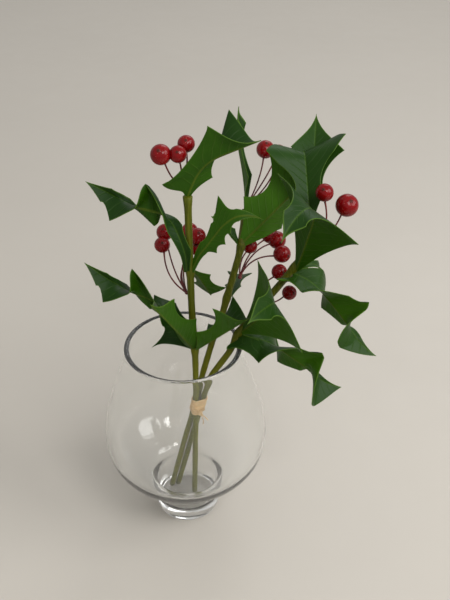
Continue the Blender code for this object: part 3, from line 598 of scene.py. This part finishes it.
whorls = {
    "leaves_left_low": [
        dict(rows=[((6.5, 0, 146), (-0.8, -0.6, -0.1), (0.6, 0.2, 0.7)),
                   ((1.5, 5, 155), (-0.9, -0.4, -0.3), (0.4, 0.4, 0.8)),
                   ((-6.5, 8, 166.5), (-0.6, -0.6, -0.5), (0.2, 0.5, 0.8)),
                   ((-16.5, 10, 174.5), (0, -0.8, 0.5), (-0.1, 0.8, 0.6)),
                   ((-23.5, 12, 178.5), (-0.45, 0.3, 0.9), (0.2, -0.3, -0.9)),
                   ((-36, 13, 183.5), (0.1, -0.9, 0.4), (-0.2, 0.9, 0.1)),
                   ((-49.5, 14, 193), (-0.1, -0.8, -0.6), (0.2, -0.1, 0.9)),
                   ((-63, 15, 204), (-0.2, -0.7, -0.7), (0.2, 0.4, 0.9))],
             left=[(0.2, 24), (0.3, 10), (0.571, 22), (0.857, 17), (0.91, 9)],
             right=[(0.143, 9), (0.286, 9), (0.571, 8), (0.714, 7), (0.857, 4)]),
        dict(base=(7.4, -3, 147), az=-118, el=54, roll=20, length=82, bend=(0, 0),
             liftLeft=(50, 55), liftRight=(50, 55), left=[(0.3, 15), (0.7, 13)],
             right=[(0.25, 17), (0.62, 15)]),
        dict(base=(9, -3.5, 147), az=-14, el=42, roll=-20, length=48, bend=(0, 0),
             liftLeft=(45, 45), liftRight=(45, 45)),
    ],
    "leaves_left_mid": [
        dict(rows=[((4.4, -3.8, 209), (-1, -0.2, 0.1), (1, -0.3, 0.2)),
                   ((3.5, -6.5, 225), (-1, -0.3, 0), (0.8, -0.2, 0.5)),
                   ((-2.5, -2, 240), (-0.7, -0.8, -0.3), (0.9, 0.1, 0.3)),
                   ((-10, 4, 245.5), (0, -0.8, 0.6), (0.1, 0.9, -0.3)),
                   ((-18.5, 8, 246), (-0.1, 0.2, 1), (0.3, -0.3, -0.9)),
                   ((-29, 10, 249), (0.15, -0.9, 0.25), (-0.2, 0.9, 0.1)),
                   ((-42, 14, 254.5), (0, -0.8, -0.6), (0.2, -0.1, 0.9)),
                   ((-57, 16, 262), (-0.2, -0.7, -0.7), (0.2, 0.4, 0.9))],
             leftBow={3: (1.5, 0.5, 0.7), 4: (3, 2, 2)}, rightBow={5: (-0.8, -0.8, -2)},
             left=[(0.286, 6), (0.571, 17), (0.857, 18), (0.91, 8)],
             right=[(0.143, 5), (0.286, 5), (0.571, 10), (0.714, 7), (0.857, 4)]),
        dict(rows=[((7.2, -3.4, 209.5), (0.7, -0.6, -0.3), (-0.4, 0.2, 0.7)),
                   ((12, -4.5, 221), (0.7, -0.6, -0.3), (-0.6, 0.3, 0.7)),
                   ((17, -6, 229), (0.7, -0.6, -0.3), (-0.5, 0.3, 0.8)),
                   ((22, -7, 237), (0.7, -0.6, -0.3), (-0.3, 0.4, 0.9)),
                   ((27, -8, 244.5), (0.6, -0.6, -0.3), (0, 0.4, 1)),
                   ((34.5, -9, 251), (0.4, -0.6, -0.6), (0, 0.4, 1)),
                   ((43, -9, 252), (0.1, -0.6, -0.8), (0, 0.4, 1)),
                   ((51, -8, 249), (0.1, -0.6, -0.8), (0, 0.4, 1))],
             left=[(0.22, 3), (0.3, 8), (0.43, 9), (0.57, 7), (0.72, 3)],
             right=[(0.25, 5), (0.43, 8), (0.53, 20), (0.72, 5)]),
        dict(base=(8, -1, 208), az=62, el=-48, roll=-10, length=38, bend=(10, 0),
             left=[(0.22, 8), (0.62, 12)], right=[(0.26, 8), (0.70, 12)]),
    ],
    "leaves_left_top": [
        dict(base=(6, -2, 261.5), az=-18, el=70, roll=-60, length=62, twist=(5, 20, 15, 0, 0),
             bend=(3, 14, 13, 0, 0), left=[(0.22, 11), (0.64, 28)],
             right=[(0.22, 17), (0.62, 20)], liftLeft=(5, 60), liftRight=(5, 60),
             sweepLeft=(2, 6), sweepRight=(-10, 0), sway=(3, 15, 15, 0, 0), hollow=0.5),
    ],
    "leaves_middle_low": [
        dict(base=(31, 17, 176), az=75, el=5, length=34, left=[(0.22, 6), (0.62, 9)],
             right=[(0.26, 6), (0.70, 9)]),
    ],
    "leaves_middle_mid": [
        dict(base=(38, 22, 213), az=30, el=35, roll=-132, length=66, left=[(0.4, 18), (0.78, 13)],
             right=[(0.36, 21), (0.745, 29)], liftLeft=(50, 55), liftRight=(5, 10),
             sweepLeft=(0, 3), sweepRight=(0, 5), hollow=0.42),
        dict(base=(37, 23, 213), az=165, el=55, length=26, left=[(0.22, 6), (0.62, 9)],
             right=[(0.26, 6), (0.70, 9)]),
    ],
    "leaves_middle_top": [
        dict(base=(42, 47, 226), az=93, el=72, roll=60, length=67, left=[(0.3, 10), (0.7, 10)],
             right=[(0.3, 6), (0.75, 6)], liftLeft=(45, 45), liftRight=(45, 45),
             bend=(12, -22)),
    ],
    "leaves_right_low": [
        dict(base=(39, 1.5, 158), az=-44, el=50, roll=-101, length=92, bend=(5, 0, 22, 60, 5),
             sway=(0, 0, 0, 15, 15), left=[(0.58, 34), (0.78, 8)],
             right=[(0.56, 30), (0.78, 8)], liftLeft=(5, 20), liftRight=(5, 20)),
        dict(base=(37, 2, 155), az=-3, el=-4, roll=32, length=80, twist=(0, -90, -20, 110, 15),
             bend=(10, 10, 10, 0, 0), sway=(-10, -20, -10, 40, 20),
             left=[(0.40, 20), (0.78, 3)],
             right=[(0.10, 13), (0.22, 20), (0.52, 19), (0.77, 24)], liftLeft=(0, 20),
             liftRight=(10, 10, 10, 10), sweepLeft=(0, 0), sweepRight=(-14, 0, 15, 2),
             hollow=0.3),
        dict(base=(38.5, 3, 156), az=10, el=-24, length=36, left=[(0.22, 6), (0.62, 10)],
             right=[(0.26, 6), (0.70, 10)]),
    ],
    "leaves_right_mid": [
        dict(base=(73.8, 4.9, 205.2), az=-48, el=71, roll=-88, length=98.5, bend=(5, 0, 35, 65, 10),
             sway=(0, 0, 0, 15, 15), left=[(0.56, 34), (0.78, 8)],
             right=[(0.56, 34), (0.78, 8)], liftLeft=(5, 10), liftRight=(5, 10)),
        dict(base=(72, 5.5, 202), az=-18, el=-10, roll=31, length=76,
             twist=(-20, -80, -10, 100, 15), bend=(10, 10, 10, 0, 0),
             sway=(-20, -10, -10, 30, 20), left=[(0.28, 21), (0.78, 3)],
             right=[(0.10, 13), (0.22, 17), (0.52, 25), (0.77, 18)], liftLeft=(0, 20),
             liftRight=(10, 10, 10, 10), sweepLeft=(-4, 0), sweepRight=(-14, -2, 12, -4),
             hollow=0.25),
        dict(base=(76, 9, 204), az=14, el=20, roll=30, length=46, left=[(0.35, 4), (0.7, 8)],
             right=[(0.35, 4), (0.7, 6)], bend=(55, 40, 10, 0)),
    ],
    "leaves_right_top": [
        dict(base=(81.5, 10.5, 235.5), az=97, el=52, roll=-6, length=76,
             bend=(0, 0, 0, 0, 60, 60, 30, 0), left=[(0.2, 10), (0.56, 26)],
             right=[(0.2, 10), (0.58, 28)], sweepLeft=(2, 0)),
        dict(base=(81.5, 13, 234.5), az=84, el=42, roll=0, length=76, bend=(0, 0, 5, 5),
             left=[(0.25, 8), (0.56, 16)], right=[(0.25, 8), (0.54, 20)], liftLeft=(15, 20),
             liftRight=(15, 20)),
    ],
}
draw = np.random.default_rng(11)
for name, leaves in whorls.items():
    sheets = [(rolledSheet if "rows" in leaf else leafSheet)(tone=draw.uniform(0, 1), **leaf)
              for leaf in leaves]
    piece = meshFrom(name + "_blades", sheets, leafMaterial)
    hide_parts(name)
print("leaves are in place")

berryForm = {
    "rings": 26, "sides": 28, "firstRing": 0.02, "ringsCrowd": 1.5, "lastRing": 0.995,
    "crownSize": 0.17, "crownRise": 0.35, "crownSteep": 45, "lobes": 5, "lobeDepth": 0.18,
    "dimpleDepth": 0.05, "dimpleWidth": 0.35,
}
stalkForm = {
    "radius": 0.6, "middle": 0.85, "widening": 0.5, "rootLength": 0.08, "berryLength": 0.1,
    "sunk": 0.25, "rows": 18, "sides": 10,
}
beadForm = {"radius": 1.45, "half": 1.3, "capHalf": 1.38, "rows": 9, "sides": 12,
            "along": (0.3, 0, 0.95)}
bunches = {
    "berries_left_top": {"root": (2, 2.6, 266), "fruit": [
        ((-9, 0, 287.3), 12.4, (-1, 0, -2)), ((1, 0, 287.5), 10.4, (1, 1, 0)),
        ((5.5, 8, 290.4), 10.4, (2, 1, 0))]},
    "berries_left_mid": {"root": (3.6, 1.2, 190), "fruit": [
        ((-12.5, 21, 213.9), 10.4, (-4, 1, -4)), ((-11, 28, 219.3), 11.1, (-2, 2, -4)),
        ((5.4, 24, 222.6), 10.8, (-3, 0, -3)), ((10.7, 16, 223.4), 10.8, (-6, -1, 0)),
        ((9, 17, 214.6), 10.2, (-6, -1, 0))]},
    "berries_middle_top": {"root": (43, 51, 227), "fruit": [
        ((55.2, 72, 257.5), 12.3, (2, 0, 0)), ((64.6, 79, 252.4), 10.1, (2, 2, 0)),
        ((65.6, 69, 256), 8.6, (3, 0, -2))]},
    "berries_middle_mid": {"root": (38, 18.6, 190.5), "fruit": [
        ((44.8, 32, 206.4), 9.9, (-2, 0, 2)), ((58.4, 44, 207.8), 11.3, (-2, 0, 4)),
        ((63.2, 41, 205.7), 12.1, (-2, 0, 5)), ((65.9, 28, 202.7), 11.8, (-3, 0, 5))]},
    "berries_right_low": {"root": (49.5, 8.4, 175.5), "fruit": [
        ((63.9, 18, 195), 10.5, (-3, 1, 2)), ((78.5, 26, 191.4), 10.7, (0, 2, -2)),
        ((71.2, 18, 178.5), 10, (2, 1, -3))]},
    "berries_right_top": {"root": (84.6, 5.8, 225), "fruit": [
        ((88.6, 9, 258), 11.2, (4, -1, -2)), ((103.4, 12, 247.7), 14.4, (2, 0, -3))]},
}


# A berry is a globe round its crown's axis: the radius is constant but for a shallow dimple at the
# crown, out of which a small five-lobed scar rises.
def berrySheet(centre, diameter, axis):
    t = np.linspace(berryForm["firstRing"], 1, berryForm["rings"]) ** berryForm["ringsCrowd"]
    polar = (t * np.pi * berryForm["lastRing"])[:, None]
    around = np.linspace(0, 2 * np.pi, berryForm["sides"], endpoint=False)[None]
    lobes = berryForm["lobeDepth"] * np.cos(berryForm["lobes"] * around)
    lobed = berryForm["crownSize"] * (1 + lobes)
    crown = 1 / (1 + np.exp((polar - lobed) * berryForm["crownSteep"]))
    dimple = berryForm["dimpleDepth"] * np.exp(-(polar / berryForm["dimpleWidth"]) ** 2)
    radius = (diameter / 2) * (1 - dimple) + berryForm["crownRise"] * crown
    side = unit(np.cross(axis, (0.3, 1, 0.1)))
    other = np.cross(axis, side)
    point = (np.cos(polar)[..., None] * axis + (np.sin(polar) * np.cos(around))[..., None] * other
             + (np.sin(polar) * np.sin(around))[..., None] * side)
    return {"grid": np.array(centre) + radius[..., None] * point, "wrap": True,
            "values": {"crown": crown}}


# A stalk leaves the stem, bows by a parabola and widens a little at both ends.
def stalkSheet(root, centre, bow, diameter):
    t = np.linspace(0, 1, stalkForm["rows"])[:, None]
    root, centre, bow = (np.array(v, float) for v in (root, centre, bow))
    reach = 1 - stalkForm["sunk"] * diameter / np.linalg.norm(centre - root)
    path = root + (centre - root) * t * reach
    path = path + bow * 4 * t * (1 - t)
    atRoot = stalkForm["widening"] * np.exp(-(t[:, 0] / stalkForm["rootLength"]) ** 2)
    atBerry = stalkForm["widening"] * np.exp(-((1 - t[:, 0]) / stalkForm["berryLength"]) ** 2)
    widths = stalkForm["radius"] * (stalkForm["middle"] + atRoot + atBerry)
    return {"grid": sweep(path, widths, sides=stalkForm["sides"]), "wrap": True}


# A bead beside the stem, from which the stalks grow: its radius follows a circle to blunt ends.
def beadSheet(root):
    along = np.linspace(-beadForm["half"], beadForm["half"], beadForm["rows"])[:, None]
    place = np.linspace(-beadForm["capHalf"], beadForm["capHalf"], beadForm["rows"])
    swell = np.sqrt(np.maximum(beadForm["radius"] ** 2 - place ** 2, 0.01))
    path = np.array(root) + along * np.array(beadForm["along"])
    return {"grid": sweep(path, swell, sides=beadForm["sides"]), "wrap": True}


for name, bunch in bunches.items():
    globes, stalks = [], []
    for centre, diameter, bow in bunch["fruit"]:
        heading = unit(np.array(centre) - np.array(bunch["root"]) - 2.5 * np.array(bow))
        axis = unit(heading * 0.6 + np.array((0, -0.9, 0.35)) + draw.uniform(-0.25, 0.25, 3))
        globes.append(berrySheet(centre, diameter, axis))
        stalks.append(stalkSheet(bunch["root"], centre, bow, diameter))
    stalks.append(beadSheet(bunch["root"]))
    fruit = meshFrom(name + "_fruit", globes, berryMaterial)
    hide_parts(name)
    thin = meshFrom(name + "_stalks", stalks, stalkMaterial)
    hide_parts(name)
print("berries are in place")

tie = {
    "bottom": 91.9, "turns": 7, "pitch": 1.82, "gap": 0.75, "width": 1.05, "depth": 0.34,
    "points": 150, "overlap": 1.04, "start": 2.2, "startShift": 0.35, "rise": (-0.2, 0.25),
    "wave": 0.12, "sides": 12, "knot": (10.6, -4.65, 92.8), "knotTurns": 2.2,
    "crossing": {"from": -2.6, "to": -0.4, "high": 9.5, "low": 0.8, "gap": 0.75, "points": 60},
    "ends": [((16, -7, 88.6), (0, -0.6, 1), 0.8), ((12.4, -7.6, 85.4), (1, -0.8, 0), 0.45)],
    "endWidth": 0.62, "endDepth": 0.26, "endTaper": 0.35,
}


# The middle of each stem at each height, read off its route.
def stemCentres(height):
    made = []
    for stem in stems.values():
        path = smoothPath(stem["route"], stemForm["span"])
        made.append(np.stack([np.interp(height, path[:, 2], path[:, i]) for i in range(3)], -1))
    return np.array(made)


# A taut turn lies on the outermost stem in each direction: the support line of the three stems.
def tautPath(angle, height, gap):
    out = np.stack([np.cos(angle), np.sin(angle), np.zeros_like(angle)], -1)
    centres = stemCentres(height)
    reach = np.einsum("kni,ni->kn", centres, out)
    best = centres[np.argmax(reach, 0), np.arange(len(angle))]
    path = best + out * (stemThickness(height) + gap)[..., None]
    lengths = np.concatenate([[0], np.cumsum(np.linalg.norm(np.diff(path, axis=0), axis=1))])
    even = np.linspace(0, lengths[-1], len(angle))
    return np.stack([np.interp(even, lengths, path[:, i]) for i in range(3)], -1)


# A flat oval strand along a path, which carries the run along it and the place across it.
def strand(path, width, depth, tone):
    grid = sweep(path, depth, width, sides=tie["sides"], upward=np.array((0.0, 0.0, 1.0)))
    run = np.concatenate([[0], np.cumsum(np.linalg.norm(np.diff(path, axis=0), axis=1))])
    lane = np.linspace(0, 1, tie["sides"], endpoint=False)
    return {"grid": grid, "wrap": True, "values": {"along": run[:, None], "lane": lane[None],
                                                   "tone": np.array([[tone]])}}


sheets = []
for turn in range(tie["turns"]):
    angle = np.linspace(0, 2 * np.pi * tie["overlap"], tie["points"])
    angle = angle + tie["start"] + turn * tie["startShift"]
    lift = np.linspace(*tie["rise"], tie["points"]) + tie["wave"] * np.sin(angle * 2 + turn)
    height = tie["bottom"] + (turn + 0.35) * tie["pitch"] + lift
    path = tautPath(angle, height, tie["gap"] + tie["wave"] * np.sin(turn * 2.4))
    sheets.append(strand(path, tie["width"], tie["depth"], draw.uniform(0.2, 1)))
crossing = tie["crossing"]  # one strand crosses the others on its way to the knot
angle = np.linspace(crossing["from"], crossing["to"], crossing["points"])
height = np.linspace(tie["bottom"] + crossing["high"], tie["bottom"] + crossing["low"],
                     crossing["points"])
path = tautPath(angle, height, tie["gap"] + crossing["gap"])
sheets.append(strand(path, 0.7, 0.3, 0.5))
knot = np.array(tie["knot"])
t = np.linspace(0, 2 * np.pi * tie["knotTurns"], 90)  # a small coil that swings as it turns
loop = knot + np.stack([1.1 * np.cos(t), 0.9 * np.sin(t) * np.cos(t * 0.31),
                        1.2 * np.sin(t) + 0.1 * t / 6], -1)
sheets.append(strand(loop, 0.62, 0.5, 0.7))
for end, bow, tone in tie["ends"]:
    t = np.linspace(0, 1, 30)[:, None]
    path = knot + (np.array(end) - knot) * t + np.array(bow) * 4 * t * (1 - t)
    taper = tie["endWidth"] * (1 - tie["endTaper"] * t[:, 0])
    sheets.append(strand(path, taper, tie["endDepth"], tone))
piece = meshFrom("raffia_tie_strands", sheets, raffiaMaterial)
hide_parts("raffia_tie")
print("the tie is in place")

glass = {
    "outside": [(37.9, 148.6), (39.2, 148.1), (39.8, 146.8), (41.3, 139), (44.3, 128), (48, 116),
                (52, 104), (55.3, 92), (57.1, 80), (57.4, 69), (55.3, 58), (50, 48.5), (42.5, 40.6),
                (34.5, 35), (28.6, 31.2), (26.4, 27.5), (26.1, 22), (25.2, 14), (23.8, 6),
                (22.8, 1.1), (21.9, 0)],
    "inside": [(0, 8), (14, 8.2), (18.6, 9.6), (20.6, 12.5), (21.8, 18), (22.8, 25), (24.8, 31),
               (28.5, 34.8), (34.3, 38), (42, 43.2), (49, 50.6), (54, 59.6), (55.8, 69.2),
               (55.5, 80), (53.6, 91.6), (50.1, 103.4), (45.9, 115.3), (41.7, 127.2), (38.3, 138.2),
               (36.4, 146.8), (36.8, 148.1)],
    "sides": 128, "span": 5, "soleRings": (18, 10, 1),
}
# A closed line from the middle of the well, up the inside, over the lip and down to the foot's
# middle, turned round the upright axis.
wall = smoothPath([(x, 0, z) for x, z in glass["inside"] + glass["outside"]], glass["span"])
sole = np.array([(x, 0, 0.0) for x in glass["soleRings"]])
wall = np.vstack([wall[1:], sole])
around = np.linspace(0, 2 * np.pi, glass["sides"], endpoint=False)
turned = np.stack([wall[:, :1] * np.cos(around), wall[:, :1] * np.sin(around),
                   np.broadcast_to(wall[:, 2:], (len(wall), glass["sides"]))], -1)
piece = meshFrom("vase_glass", [{"grid": turned[::-1], "wrap": True}], glassMaterial)
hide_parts("vase")
print("the vase is in place")
